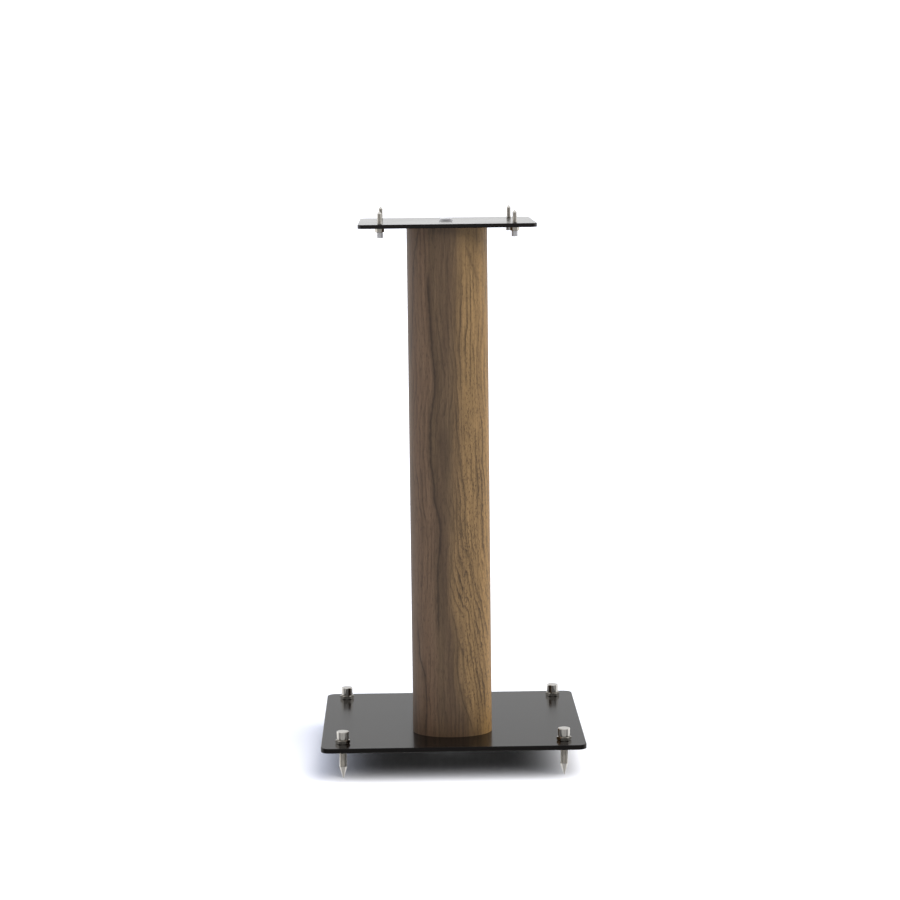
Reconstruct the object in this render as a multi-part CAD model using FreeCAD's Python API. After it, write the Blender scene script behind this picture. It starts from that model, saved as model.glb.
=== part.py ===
import FreeCAD, Part
import math
import os

# Speaker stand. Two steel plates are clamped to the ends of a veneered column by one
# central tie rod. Four spikes carry the stand on the floor and four carry the speaker.
# Millimetres. +Z is up, +X is to the right and -Y is to the front. The origin is on the
# floor, below the middle of the base plate.

Vector = FreeCAD.Vector
UP = Vector(0, 0, 1)

# Base plate
BASE_WIDTH = 330.0
BASE_DEPTH = 300.0
BASE_THICKNESS = 6.0
BASE_CORNER_RADIUS = 11.0
BASE_EDGE_ROUNDING = 0.8

# Top plate
TOP_WIDTH = 220.0
TOP_DEPTH = 220.0
TOP_THICKNESS = 5.0
TOP_CORNER_RADIUS = 11.0
TOP_EDGE_ROUNDING = 0.8

# Column: straight sides between two half-elliptical ends, a board core with a wood skin
COLUMN_WIDTH = 100.0
COLUMN_DEPTH = 200.0
COLUMN_HEIGHT = 638.0
COLUMN_NOSE_DEPTH = 38.0
VENEER_THICKNESS = 0.6
GLUE_LINE = 0.05

# Floor spikes and their lock nuts
FLOOR_THREAD_DIAMETER = 10.0
FLOOR_SPIKE_DROP = 38.0
FLOOR_CONE_LENGTH = 15.0
FLOOR_TIP_DIAMETER = 0.8
FLOOR_HEAD_DIAMETER = 15.0
FLOOR_HEAD_HEIGHT = 10.5
FLOOR_HEAD_ROUNDING = 0.9
FLOOR_NUT_ACROSS_FLATS = 16.0
FLOOR_NUT_HEIGHT = 5.0
FLOOR_SPIKE_INSET_X = 27.0
FLOOR_SPIKE_INSET_Y = 28.0

# Top spikes and their lock nuts
TOP_THREAD_DIAMETER = 6.0
TOP_SPIKE_RISE = 16.0
TOP_CONE_LENGTH = 3.5
TOP_TIP_DIAMETER = 0.6
TOP_HEAD_DIAMETER = 8.0
TOP_HEAD_HEIGHT = 7.0
TOP_HEAD_ROUNDING = 0.5
TOP_KEY_SIZE = 4.0
TOP_KEY_DEPTH = 3.0
TOP_NUT_ACROSS_FLATS = 10.0
TOP_NUT_HEIGHT = 5.0
TOP_SPIKE_INSET_X = 27.0
TOP_SPIKE_INSET_Y = 22.0

# Tie rod, its cap nut on the top plate, and its washer and nut under the base plate
ROD_DIAMETER = 8.0
ROD_TAIL = 3.0
ROD_GRIP_IN_CAP = 12.0
ROD_END_CHAMFER = 0.8
ROD_NUT_ACROSS_FLATS = 13.0
ROD_NUT_HEIGHT = 6.5
WASHER_DIAMETER = 24.0
WASHER_THICKNESS = 2.0
CAP_HEAD_DIAMETER = 17.0
CAP_HEAD_HEIGHT = 3.0
CAP_HEAD_ROUNDING = 1.0
CAP_SLEEVE_WALL = 1.0
CAP_SLEEVE_LENGTH = 18.0
CAP_BORE_DEPTH = 15.0
CAP_KEY_SIZE = 5.0
CAP_KEY_DEPTH = 2.5

# Fits, each given as the gap on the radius
THREAD_CLEARANCE = 0.05
ROD_HOLE_CLEARANCE = 0.5
CAP_HOLE_CLEARANCE = 0.25
CORE_BORE_CLEARANCE = 1.0

# Shape of every hexagon nut
NUT_CHAMFER_ANGLE = 30.0
NUT_FACE_SHARE = 0.95
NUT_BORE_CHAMFER = 0.4

# Heights that follow from the sizes above
base_bottom = FLOOR_SPIKE_DROP
base_top = base_bottom + BASE_THICKNESS
column_top = base_top + COLUMN_HEIGHT
plate_top = column_top + TOP_THICKNESS

# Radius of the cap nut's sleeve, which the holes round it follow
sleeve_radius = ROD_DIAMETER / 2 + CAP_SLEEVE_WALL

# Two heights nearer to each other than this count as one
SAME_HEIGHT = 0.001

# Each corner of a plate: its name, and the side of the middle it lies on in X and in Y
CORNERS = [
    ("front_left", -1, -1),
    ("front_right", 1, -1),
    ("rear_left", -1, 1),
    ("rear_right", 1, 1),
]


def corner_place(side_x, side_y, width, depth, inset_x, inset_y):
    """Centre of a spike, set in from the two edges of its plate."""
    return side_x * (width / 2 - inset_x), side_y * (depth / 2 - inset_y)


def floor_spike_place(side_x, side_y):
    return corner_place(side_x, side_y, BASE_WIDTH, BASE_DEPTH, FLOOR_SPIKE_INSET_X, FLOOR_SPIKE_INSET_Y)


def top_spike_place(side_x, side_y):
    return corner_place(side_x, side_y, TOP_WIDTH, TOP_DEPTH, TOP_SPIKE_INSET_X, TOP_SPIKE_INSET_Y)


def turned(profile):
    """Solid of revolution about Z from (radius, height) points that close on the axis."""
    points = [Vector(radius, 0, height) for radius, height in profile]
    face = Part.Face(Part.makePolygon(points + points[:1]))
    return face.revolve(Vector(0, 0, 0), UP, 360)


def hexagon_prism(across_flats, height):
    """Upright hexagonal prism on the XY plane, with two flats facing the front and back."""
    corner_radius = across_flats / math.sqrt(3)
    angles = [math.radians(60 * step) for step in range(6)]
    points = [Vector(corner_radius * math.cos(a), corner_radius * math.sin(a), 0) for a in angles]
    return Part.Face(Part.makePolygon(points + points[:1])).extrude(UP * height)


def round_rim(shape, radius, height, rounding):
    """Round the circular edge of the given radius that lies at the given height."""
    rims = []
    for edge in shape.Edges:
        circular = isinstance(edge.Curve, Part.Circle)
        if circular and math.isclose(edge.Curve.Radius, radius) and math.isclose(edge.Curve.Center.z, height):
            rims.append(edge)
    return shape.makeFillet(rounding, rims)


def hexagon_nut(across_flats, height, bore_radius):
    """Nut with both faces chamfered and both ends of its bore eased."""
    corner_radius = across_flats / math.sqrt(3)
    face_radius = NUT_FACE_SHARE * across_flats / 2
    drop = (corner_radius - face_radius) * math.tan(math.radians(NUT_CHAMFER_ANGLE))
    outline = [(0, 0), (face_radius, 0), (corner_radius, drop)]
    outline += [(corner_radius, height - drop), (face_radius, height), (0, height)]
    blank = hexagon_prism(across_flats, height).common(turned(outline))
    mouth = bore_radius + NUT_BORE_CHAMFER
    bore = [(0, 0), (mouth, 0), (bore_radius, NUT_BORE_CHAMFER)]
    bore += [(bore_radius, height - NUT_BORE_CHAMFER), (mouth, height), (0, height)]
    return blank.cut(turned(bore))


def spike(thread_radius, length, cone_length, tip_radius, head_radius, head_height, rounding):
    """Spike standing on its tip: cone, shank and round head. The length is that below the head."""
    head_top = length + head_height
    profile = [(0, 0), (tip_radius, 0), (thread_radius, cone_length), (thread_radius, length)]
    profile += [(head_radius, length), (head_radius, head_top), (0, head_top)]
    body = turned(profile)
    body = round_rim(body, head_radius, head_top, rounding)
    return round_rim(body, head_radius, length, rounding / 2)


def key_socket(key_size, key_depth, head_top):
    """Hexagonal pocket for a key, to be cut down into a head whose top is at head_top."""
    socket = hexagon_prism(key_size, key_depth)
    socket.translate(UP * (head_top - key_depth))
    return socket


def climbs(edge):
    """Whether an edge's two ends lie at different heights."""
    return abs(edge.Vertexes[0].Z - edge.Vertexes[-1].Z) > SAME_HEIGHT


def plate(width, depth, thickness, corner_radius, rounding):
    """Flat plate on the XY plane, centred, with round corners and eased top and bottom edges."""
    blank = Part.makeBox(width, depth, thickness, Vector(-width / 2, -depth / 2, 0))
    uprights = [edge for edge in blank.Edges if climbs(edge)]
    blank = blank.makeFillet(corner_radius, uprights)
    flat_edges = [edge for edge in blank.Edges if not climbs(edge)]
    return blank.makeFillet(rounding, flat_edges)


def drilled(shape, radius, x, y, thickness):
    """Plate with a round hole right through it."""
    return shape.cut(Part.makeCylinder(radius, thickness, Vector(x, y, 0)))


def base_plate():
    shape = plate(BASE_WIDTH, BASE_DEPTH, BASE_THICKNESS, BASE_CORNER_RADIUS, BASE_EDGE_ROUNDING)
    for _name, side_x, side_y in CORNERS:
        x, y = floor_spike_place(side_x, side_y)
        shape = drilled(shape, FLOOR_THREAD_DIAMETER / 2 + THREAD_CLEARANCE, x, y, BASE_THICKNESS)
    shape = drilled(shape, ROD_DIAMETER / 2 + ROD_HOLE_CLEARANCE, 0, 0, BASE_THICKNESS)
    shape.translate(UP * base_bottom)
    return shape


def top_plate():
    shape = plate(TOP_WIDTH, TOP_DEPTH, TOP_THICKNESS, TOP_CORNER_RADIUS, TOP_EDGE_ROUNDING)
    for _name, side_x, side_y in CORNERS:
        x, y = top_spike_place(side_x, side_y)
        shape = drilled(shape, TOP_THREAD_DIAMETER / 2 + THREAD_CLEARANCE, x, y, TOP_THICKNESS)
    shape = drilled(shape, sleeve_radius + CAP_HOLE_CLEARANCE, 0, 0, TOP_THICKNESS)
    shape.translate(UP * column_top)
    return shape


def half_ellipse(centre_y, half_width, nose, side_y):
    """Curved end of the column's outline, from its left to its right, bulging to side_y."""
    centre = Vector(0, centre_y, 0)
    across = Vector(half_width, centre_y, 0)
    along = Vector(0, centre_y + nose, 0)
    wide = half_width >= nose
    curve = Part.Ellipse(across, along, centre) if wide else Part.Ellipse(along, across, centre)
    left = curve.parameter(Vector(-half_width, centre_y, 0))
    right = curve.parameter(across)
    arcs = [curve.toShape(min(left, right), max(left, right))]
    arcs.append(curve.toShape(max(left, right), min(left, right) + 2 * math.pi))
    return max(arcs, key=lambda arc: side_y * arc.CenterOfMass.y)


def column_outline(inset):
    """Closed outline of the column, drawn in from its outer face by the inset."""
    half_width = COLUMN_WIDTH / 2 - inset
    nose = COLUMN_NOSE_DEPTH - inset
    straight = COLUMN_DEPTH / 2 - COLUMN_NOSE_DEPTH
    sides = []
    for side_x in (-1, 1):
        x = side_x * half_width
        sides.append(Part.makeLine(Vector(x, -straight, 0), Vector(x, straight, 0)))
    ends = [half_ellipse(side_y * straight, half_width, nose, side_y) for side_y in (-1, 1)]
    return Part.Wire(Part.__sortEdges__(sides + ends))


def column_core():
    """Board core, bored from end to end with room for the tie rod and its cap nut's sleeve."""
    shape = Part.Face(column_outline(VENEER_THICKNESS + GLUE_LINE)).extrude(UP * COLUMN_HEIGHT)
    shape = shape.cut(Part.makeCylinder(sleeve_radius + CORE_BORE_CLEARANCE, COLUMN_HEIGHT))
    shape.translate(UP * base_top)
    return shape


def column_veneer():
    outside = Part.Face(column_outline(0)).extrude(UP * COLUMN_HEIGHT)
    inside = Part.Face(column_outline(VENEER_THICKNESS)).extrude(UP * COLUMN_HEIGHT)
    shape = outside.cut(inside)
    shape.translate(UP * base_top)
    return shape


def tie_rod():
    """Threaded rod, from just below its nut to inside the cap nut's sleeve."""
    bottom = base_bottom - WASHER_THICKNESS - ROD_NUT_HEIGHT - ROD_TAIL
    top = plate_top - CAP_SLEEVE_LENGTH + ROD_GRIP_IN_CAP
    radius = ROD_DIAMETER / 2
    end_radius = radius - ROD_END_CHAMFER
    profile = [(0, bottom), (end_radius, bottom), (radius, bottom + ROD_END_CHAMFER)]
    profile += [(radius, top - ROD_END_CHAMFER), (end_radius, top), (0, top)]
    return turned(profile)


def tie_rod_cap_nut():
    """Low round head on the top plate, with a sleeve below it that takes the rod."""
    head_radius = CAP_HEAD_DIAMETER / 2
    head_top = plate_top + CAP_HEAD_HEIGHT
    sleeve_bottom = plate_top - CAP_SLEEVE_LENGTH
    profile = [(0, sleeve_bottom), (sleeve_radius, sleeve_bottom)]
    profile += [(sleeve_radius, plate_top), (head_radius, plate_top)]
    profile += [(head_radius, head_top), (0, head_top)]
    shape = round_rim(turned(profile), head_radius, head_top, CAP_HEAD_ROUNDING)
    shape = shape.cut(key_socket(CAP_KEY_SIZE, CAP_KEY_DEPTH, head_top))
    bore_radius = ROD_DIAMETER / 2 + THREAD_CLEARANCE
    return shape.cut(Part.makeCylinder(bore_radius, CAP_BORE_DEPTH, Vector(0, 0, sleeve_bottom)))


def tie_rod_washer():
    shape = Part.makeCylinder(WASHER_DIAMETER / 2, WASHER_THICKNESS)
    shape = drilled(shape, ROD_DIAMETER / 2 + ROD_HOLE_CLEARANCE, 0, 0, WASHER_THICKNESS)
    shape.translate(UP * (base_bottom - WASHER_THICKNESS))
    return shape


def tie_rod_nut():
    bore_radius = ROD_DIAMETER / 2 + THREAD_CLEARANCE
    shape = hexagon_nut(ROD_NUT_ACROSS_FLATS, ROD_NUT_HEIGHT, bore_radius)
    shape.translate(UP * (base_bottom - WASHER_THICKNESS - ROD_NUT_HEIGHT))
    return shape


def floor_lock_nut(x, y):
    """Thin nut that lies on the base plate, under the head of its spike."""
    bore_radius = FLOOR_THREAD_DIAMETER / 2 + THREAD_CLEARANCE
    shape = hexagon_nut(FLOOR_NUT_ACROSS_FLATS, FLOOR_NUT_HEIGHT, bore_radius)
    shape.translate(Vector(x, y, base_top))
    return shape


def floor_spike(x, y):
    """Spike whose plain round head sits on the lock nut and whose tip stands on the floor."""
    length = base_top + FLOOR_NUT_HEIGHT
    shape = spike(FLOOR_THREAD_DIAMETER / 2, length, FLOOR_CONE_LENGTH, FLOOR_TIP_DIAMETER / 2,
                  FLOOR_HEAD_DIAMETER / 2, FLOOR_HEAD_HEIGHT, FLOOR_HEAD_ROUNDING)
    shape.translate(Vector(x, y, 0))
    return shape


def top_lock_nut(x, y):
    """Nut that is tightened up against the underside of the top plate."""
    bore_radius = TOP_THREAD_DIAMETER / 2 + THREAD_CLEARANCE
    shape = hexagon_nut(TOP_NUT_ACROSS_FLATS, TOP_NUT_HEIGHT, bore_radius)
    shape.translate(Vector(x, y, column_top - TOP_NUT_HEIGHT))
    return shape


def top_spike(x, y):
    """Spike whose head meets the lock nut from below and whose tip stands above the plate."""
    length = TOP_SPIKE_RISE + TOP_THICKNESS + TOP_NUT_HEIGHT
    shape = spike(TOP_THREAD_DIAMETER / 2, length, TOP_CONE_LENGTH, TOP_TIP_DIAMETER / 2,
                  TOP_HEAD_DIAMETER / 2, TOP_HEAD_HEIGHT, TOP_HEAD_ROUNDING)
    shape = shape.cut(key_socket(TOP_KEY_SIZE, TOP_KEY_DEPTH, length + TOP_HEAD_HEIGHT))
    shape.rotate(Vector(0, 0, 0), Vector(1, 0, 0), 180)
    shape.translate(Vector(x, y, plate_top + TOP_SPIKE_RISE))
    return shape


def save(name, shape):
    shape.exportStep(os.path.join("parts", name + ".step"))
    print(name, len(shape.Solids), "solid", round(shape.Volume / 1000, 3), "cm3", "valid", shape.isValid())


os.makedirs("parts", exist_ok=True)
save("base_plate", base_plate())
save("top_plate", top_plate())
save("column_core", column_core())
save("column_veneer", column_veneer())
save("tie_rod", tie_rod())
save("tie_rod_cap_nut", tie_rod_cap_nut())
save("tie_rod_washer", tie_rod_washer())
save("tie_rod_nut", tie_rod_nut())
for corner, right, back in CORNERS:
    floor_x, floor_y = floor_spike_place(right, back)
    save("floor_spike_" + corner, floor_spike(floor_x, floor_y))
    save("floor_lock_nut_" + corner, floor_lock_nut(floor_x, floor_y))
    top_x, top_y = top_spike_place(right, back)
    save("top_spike_" + corner, top_spike(top_x, top_y))
    save("top_lock_nut_" + corner, top_lock_nut(top_x, top_y))
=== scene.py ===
import math

import bpy
from mathutils import Euler, Matrix, Vector


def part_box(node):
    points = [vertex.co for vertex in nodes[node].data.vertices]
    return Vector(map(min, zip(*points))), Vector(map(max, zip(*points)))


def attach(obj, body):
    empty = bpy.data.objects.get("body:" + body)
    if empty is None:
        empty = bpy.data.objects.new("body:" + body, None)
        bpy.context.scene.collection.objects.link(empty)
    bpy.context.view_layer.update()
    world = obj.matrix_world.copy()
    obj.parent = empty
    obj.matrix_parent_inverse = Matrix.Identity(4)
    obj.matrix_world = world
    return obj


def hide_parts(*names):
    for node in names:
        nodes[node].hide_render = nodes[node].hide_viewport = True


# A speaker stand: two black steel plates clamped to a walnut column by one tie rod, four screw
# spikes under the base plate and four short ones on top. Metres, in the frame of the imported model.
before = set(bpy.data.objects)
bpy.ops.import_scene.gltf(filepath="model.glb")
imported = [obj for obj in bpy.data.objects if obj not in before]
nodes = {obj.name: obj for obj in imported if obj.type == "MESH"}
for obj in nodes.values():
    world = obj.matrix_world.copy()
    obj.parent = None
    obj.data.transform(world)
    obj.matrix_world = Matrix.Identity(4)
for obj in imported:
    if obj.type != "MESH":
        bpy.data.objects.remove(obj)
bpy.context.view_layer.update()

# ---------------------------------------------------------------------------------------------
# Camera. A long lens three metres away, a little higher than the top plate and a touch to the left
# of the stand's middle. Its frame is square.
CAMERA_DISTANCE = 3.1438
CAMERA_SIDE_ANGLE = -0.940
CAMERA_HEIGHT = 0.80872
CAMERA_TILT_DOWN = 7.500
CAMERA_PAN = 0.974
CAMERA_ROLL = -0.659
SENSOR_WIDTH = 36.0
FOCAL_LENGTH = 99.27

side_angle = math.radians(CAMERA_SIDE_ANGLE)
camera_place = Vector((math.sin(side_angle), -math.cos(side_angle), 0)) * CAMERA_DISTANCE
camera_place.z = CAMERA_HEIGHT
camera_turn = Matrix.Rotation(-math.radians(CAMERA_PAN), 3, "Z")
camera_turn = camera_turn @ Matrix.Rotation(math.radians(90 - CAMERA_TILT_DOWN), 3, "X")
camera_turn = camera_turn @ Matrix.Rotation(math.radians(CAMERA_ROLL), 3, "Z")
bpy.ops.object.camera_add(location=camera_place, rotation=camera_turn.to_euler())
camera = bpy.context.object
camera.name = "camera"
camera.data.sensor_width = SENSOR_WIDTH
camera.data.lens = FOCAL_LENGTH
bpy.context.scene.camera = camera

# ---------------------------------------------------------------------------------------------
# Studio. A white floor and surround, lit from overhead by a cool dome and from above the front right
# by a warmer, very broad soft light. The bright metal mirrors a photographer's room instead: grey
# round the camera and underfoot, white behind and overhead, and brighter towards the horizon.
WHITE_PAPER = "#F2F2F1"
PALER_PAPER = "#FBFBFA"
PAPER_SPECKS = 40.0
PAPER_ROUGHNESS = 0.9
PAPER_SHEEN = 0.1
FLOOR_SIZE = 60.0
SURROUND_SEEN = 1.15
DOME_POWER = 1.25
DOME_TINT = (0.90, 0.95, 1.14, 1)
HORIZON_SHARE = 0.045
CEILING_GLOW = 0.95
FLOOR_GLOW = 0.46
HORIZON_BOOST = 1.75
# Where the dome, ceiling, floor and horizon begin and end: how steep a direction is, from -1
# straight down to 1 straight up
DOME_STEEP = (0.28, 0.55)
CEILING_STEEP = (0.35, 0.75)
FLOOR_STEEP = (-0.18, -0.60)
HORIZON_STEEP = (0.06, 0.19)
SOFT_LIGHT_SIDE = 48.0
SOFT_LIGHT_RISE = 48.0
SOFT_LIGHT_SPREAD = 60.0
SOFT_LIGHT_POWER = 2.8
SOFT_LIGHT_TINT = (1.03, 1.0, 0.95)
# What the metal mirrors near the horizon: degrees round from the camera's side, and brightness
ROOM_ROUND = [(0, 0.37), (12, 0.40), (26, 0.46), (42, 0.34), (55, 0.21), (68, 0.26), (80, 0.55),
              (95, 0.98), (118, 1.0), (140, 0.84), (180, 0.74)]


def linear(code):
    """The linear red, green, blue and alpha of an sRGB colour written as #RRGGBB."""
    parts = [int(code[place:place + 2], 16) / 255 for place in (1, 3, 5)]
    return [p / 12.92 if p <= 0.04045 else ((p + 0.055) / 1.055) ** 2.4 for p in parts] + [1.0]


def add_node(tree, kind, fill=None, **settings):
    """Adds a node of one kind, sets it up, and fills its inputs with values or with links."""
    new = tree.nodes.new("ShaderNode" + kind)
    for name, value in settings.items():
        setattr(new, name, value)
    for name, value in (fill or {}).items():
        if isinstance(value, bpy.types.NodeSocket):
            tree.links.new(value, new.inputs[name])
        else:
            new.inputs[name].default_value = value
    return new


def new_material(name):
    """An empty material and its surface shader, ready for values and links."""
    material = bpy.data.materials.new(name)
    material.use_nodes = True
    return material, material.node_tree, material.node_tree.nodes["Principled BSDF"]


def wear(piece, material):
    """Gives a piece one material all over."""
    piece.data.materials.clear()
    piece.data.materials.append(material)


paper, tree, surface = new_material("white_studio_paper")
speck = add_node(tree, "TexNoise", {"Scale": PAPER_SPECKS, "Detail": 3.0})
tint = add_node(tree, "MixRGB", {"Fac": speck.outputs["Fac"], "Color1": linear(WHITE_PAPER),
                                 "Color2": linear(PALER_PAPER)})
tree.links.new(tint.outputs["Color"], surface.inputs["Base Color"])
surface.inputs["Roughness"].default_value = PAPER_ROUGHNESS
surface.inputs["Specular IOR Level"].default_value = PAPER_SHEEN

bpy.ops.mesh.primitive_plane_add(size=FLOOR_SIZE)
floor = bpy.context.object
floor.name = "studio_floor"
wear(floor, paper)
floor.visible_glossy = False

world = bpy.data.worlds.new("white_surround")
bpy.context.scene.world = world
world.use_nodes = True
tree = world.node_tree
tree.nodes.clear()
ray = add_node(tree, "LightPath")
direction = add_node(tree, "TexCoord")
split = add_node(tree, "SeparateXYZ", {"Vector": direction.outputs["Generated"]})
front = add_node(tree, "Math", {0: split.outputs["Y"], 1: -1.0}, operation="MULTIPLY")
bearing = add_node(tree, "Math", {0: split.outputs["X"], 1: front.outputs[0]}, operation="ARCTAN2")
bearing = add_node(tree, "Math", {0: bearing.outputs[0]}, operation="ABSOLUTE")
half_turn = add_node(tree, "Math", {0: bearing.outputs[0], 1: math.pi}, operation="DIVIDE")
room = add_node(tree, "ValToRGB", {"Fac": half_turn.outputs[0]})
while len(room.color_ramp.elements) < len(ROOM_ROUND):
    room.color_ramp.elements.new(0.5)
for stop, (degrees, glow) in zip(room.color_ramp.elements, ROOM_ROUND):
    stop.position = degrees / 180
    stop.color = (glow, glow, glow, 1)
steep = split.outputs["Z"]
ceiling = add_node(tree, "MapRange", {"Value": steep, "From Min": CEILING_STEEP[0],
                                      "From Max": CEILING_STEEP[1], "To Max": CEILING_GLOW},
                   interpolation_type="SMOOTHSTEP")
ground = add_node(tree, "MapRange", {"Value": steep, "From Min": FLOOR_STEEP[0],
                                     "From Max": FLOOR_STEEP[1], "To Max": FLOOR_GLOW},
                  interpolation_type="SMOOTHSTEP")
slope = add_node(tree, "Math", {0: steep}, operation="ABSOLUTE")
level = add_node(tree, "MapRange", {"Value": slope.outputs[0], "From Min": HORIZON_STEEP[0],
                                    "From Max": HORIZON_STEEP[1], "To Min": HORIZON_BOOST,
                                    "To Max": 1.0}, interpolation_type="SMOOTHSTEP")
mirrored = add_node(tree, "Math", {0: room.outputs["Color"], 1: level.outputs["Result"]},
                    operation="MULTIPLY")
for limit in (ceiling, ground):
    mirrored = add_node(tree, "Math", {0: mirrored.outputs[0], 1: limit.outputs["Result"]},
                        operation="MAXIMUM")
dome = add_node(tree, "MapRange", {"Value": steep, "From Min": DOME_STEEP[0], "From Max": DOME_STEEP[1],
                                   "To Min": DOME_POWER * HORIZON_SHARE, "To Max": DOME_POWER},
                interpolation_type="SMOOTHSTEP")
glossy = add_node(tree, "Mix", {"Factor": ray.outputs["Is Glossy Ray"], "A": dome.outputs["Result"],
                                "B": mirrored.outputs[0]})
seen = add_node(tree, "Mix", {"Factor": ray.outputs["Is Camera Ray"], "A": glossy.outputs["Result"],
                              "B": SURROUND_SEEN})
cast = add_node(tree, "MixRGB", {"Fac": ray.outputs["Is Diffuse Ray"], "Color1": (1, 1, 1, 1),
                                 "Color2": DOME_TINT})
glow = add_node(tree, "Background", {"Color": cast.outputs["Color"], "Strength": seen.outputs["Result"]})
add_node(tree, "OutputWorld", {"Surface": glow.outputs["Background"]})

light_turn = Euler((math.radians(90 - SOFT_LIGHT_RISE), 0, math.radians(SOFT_LIGHT_SIDE)))
bpy.ops.object.light_add(type="SUN", rotation=light_turn, location=(1, -1, 3))
soft_light = bpy.context.object
soft_light.name = "broad_soft_light"
soft_light.data.energy = SOFT_LIGHT_POWER
soft_light.data.color = SOFT_LIGHT_TINT
soft_light.data.angle = math.radians(SOFT_LIGHT_SPREAD)
soft_light.visible_glossy = False
bpy.context.scene.view_settings.view_transform = "Standard"

# ---------------------------------------------------------------------------------------------
# Base plate and top plate. Laser-cut steel sheet with eased edges, sprayed with black polyester
# powder and stoved: nearly black, satin, with the faint orange peel that the powder leaves.
MM = 0.001
COAT_BLACK = "#070504"
COAT_PALER = "#0B0807"
COAT_ROUGHNESS = (0.15, 0.20)
COAT_IOR = 1.30
PEEL_SIZE = 1.4 * MM
PEEL_DEPTH = 0.004 * MM
CLOUD_SIZE = 60 * MM

powder_coat, tree, surface = new_material("black_powder_coat")
place = add_node(tree, "TexCoord").outputs["Object"]
cloud = add_node(tree, "TexNoise", {"Vector": place, "Scale": 1 / CLOUD_SIZE, "Detail": 3.0})
shade = add_node(tree, "MixRGB", {"Fac": cloud.outputs["Fac"], "Color1": linear(COAT_BLACK),
                                  "Color2": linear(COAT_PALER)})
sheen = add_node(tree, "MapRange", {"Value": cloud.outputs["Fac"], "To Min": COAT_ROUGHNESS[0],
                                    "To Max": COAT_ROUGHNESS[1]})
peel = add_node(tree, "TexNoise", {"Vector": place, "Scale": 1 / PEEL_SIZE, "Detail": 2.0})
bump = add_node(tree, "Bump", {"Height": peel.outputs["Fac"], "Distance": PEEL_DEPTH, "Strength": 1.0})
tree.links.new(shade.outputs["Color"], surface.inputs["Base Color"])
tree.links.new(sheen.outputs["Result"], surface.inputs["Roughness"])
tree.links.new(bump.outputs["Normal"], surface.inputs["Normal"])
surface.inputs["IOR"].default_value = COAT_IOR
for name in ("base_plate", "top_plate"):
    wear(nodes[name], powder_coat)

# ---------------------------------------------------------------------------------------------
# Column. A board core, shaped to a rounded bar, with one leaf of crown-cut walnut wrapped round
# it and butted in a seam at the middle of the back. The leaf is lacquered satin.
low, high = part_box("column_veneer")
COLUMN_HALF_WIDTH = high.x
COLUMN_HALF_DEPTH = high.y
COLUMN_HEIGHT = high.z - low.z
NOSE_DEPTH = 38 * MM
LEAF_THICKNESS = 0.6 * MM
LEAF_FACETS = 126
LEAF_MAP = "leaf"


def deselect():
    """Leaves nothing selected, out of edit mode, so that a new piece comes up alone."""
    if bpy.context.object and bpy.context.object.mode == "EDIT":
        bpy.ops.object.mode_set(mode="OBJECT")
    bpy.ops.object.select_all(action="DESELECT")


def select_only(piece):
    """Leaves one piece selected and active, so that the next operator works on it alone."""
    deselect()
    piece.select_set(True)
    bpy.context.view_layer.objects.active = piece


def smooth(piece, degrees):
    """Shades a piece smooth, with its edges sharper than the given angle left crisp."""
    select_only(piece)
    bpy.ops.object.shade_smooth_by_angle(angle=math.radians(degrees))


def finish_modifier(piece, kind, **settings):
    """Adds a modifier to a piece and applies it."""
    select_only(piece)
    modifier = piece.modifiers.new(kind.lower(), kind)
    for name, value in settings.items():
        setattr(modifier, name, value)
    bpy.ops.object.modifier_apply(modifier=modifier.name)


deselect()
middle_height = (low.z + high.z) / 2
bpy.ops.mesh.primitive_cylinder_add(vertices=LEAF_FACETS, radius=COLUMN_HALF_WIDTH, depth=COLUMN_HEIGHT,
                                    end_fill_type="NOTHING", location=(0, 0, middle_height))
leaf = bpy.context.object
leaf.name = "walnut_leaf"
bpy.ops.transform.resize(value=(1, NOSE_DEPTH / COLUMN_HALF_WIDTH, 1))
bpy.ops.object.transform_apply(location=True, rotation=True, scale=True)
for side in (-1, 1):
    for vertex in leaf.data.vertices:
        vertex.select = side * vertex.co.y > 0
    for group in (leaf.data.edges, leaf.data.polygons):
        for part in group:
            part.select = False
    bpy.ops.object.mode_set(mode="EDIT")
    bpy.ops.mesh.select_mode(type="VERT")
    bpy.ops.transform.translate(value=(0, side * (COLUMN_HALF_DEPTH - NOSE_DEPTH), 0))
    bpy.ops.object.mode_set(mode="OBJECT")

# The leaf's own map: metres round the column from the middle of its front, and metres up
right_foot = [v.co for v in leaf.data.vertices if v.co.x >= 0 and v.co.z < middle_height]
ring = sorted((spot.y, spot.x) for spot in right_foot)
travel = {round(ring[0][0], 5): 0.0}
for (y_before, x_before), (y_now, x_now) in zip(ring, ring[1:]):
    step = math.hypot(x_now - x_before, y_now - y_before)
    travel[round(y_now, 5)] = travel[round(y_before, 5)] + step
leaf.data.uv_layers.new(name=LEAF_MAP)
for layer in list(leaf.data.uv_layers):
    if layer.name != LEAF_MAP:
        leaf.data.uv_layers.remove(layer)
flat_leaf = leaf.data.uv_layers[LEAF_MAP]
for face in leaf.data.polygons:
    side = 1 if face.center.x > 0 else -1
    for corner in face.loop_indices:
        spot = leaf.data.vertices[leaf.data.loops[corner].vertex_index].co
        flat_leaf.data[corner].uv = (side * travel[round(spot.y, 5)], spot.z - low.z)
finish_modifier(leaf, "SOLIDIFY", thickness=LEAF_THICKNESS, offset=-1)
smooth(leaf, 30)

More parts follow.
